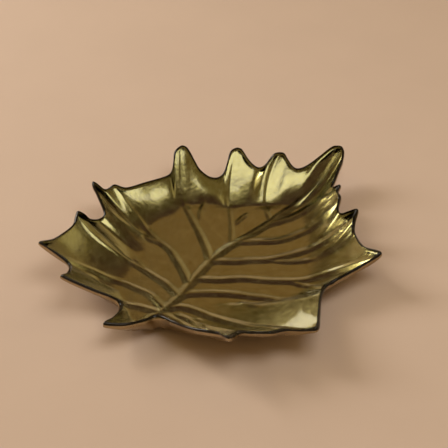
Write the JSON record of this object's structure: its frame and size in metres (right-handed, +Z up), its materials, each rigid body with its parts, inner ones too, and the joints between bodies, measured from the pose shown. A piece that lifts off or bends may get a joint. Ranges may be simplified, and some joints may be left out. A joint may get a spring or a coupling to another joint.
{
  "type": "leaf shaped plate",
  "caption": "Leaf shaped serving plate of slumped glass with raised veins, turned-up lobes and a metallic finish behind the glass, standing on soft bumper feet.",
  "frame": {"origin": "middle of the leaf's outline in plan, on the surface that the feet stand on", "axes": "+X along the midrib from the stem end to the leaf point, +Y to the leaf's left seen from above, +Z up"},
  "size_m": [0.2812, 0.2424, 0.0442],
  "materials": {
    "glass": "polished clear glass with a faint olive tint",
    "metal_finish": "crinkled olive gold metal leaf seen through the glass",
    "lacquer": "dark bronze satin lacquer",
    "feet": "clear silicone"
  },
  "bodies": {
    "root": {"glass_leaf": "glass", "metallic_coat": "metal_finish", "sealing_lacquer": "lacquer", "bumper_feet": "feet"}
  },
  "joints": []
}
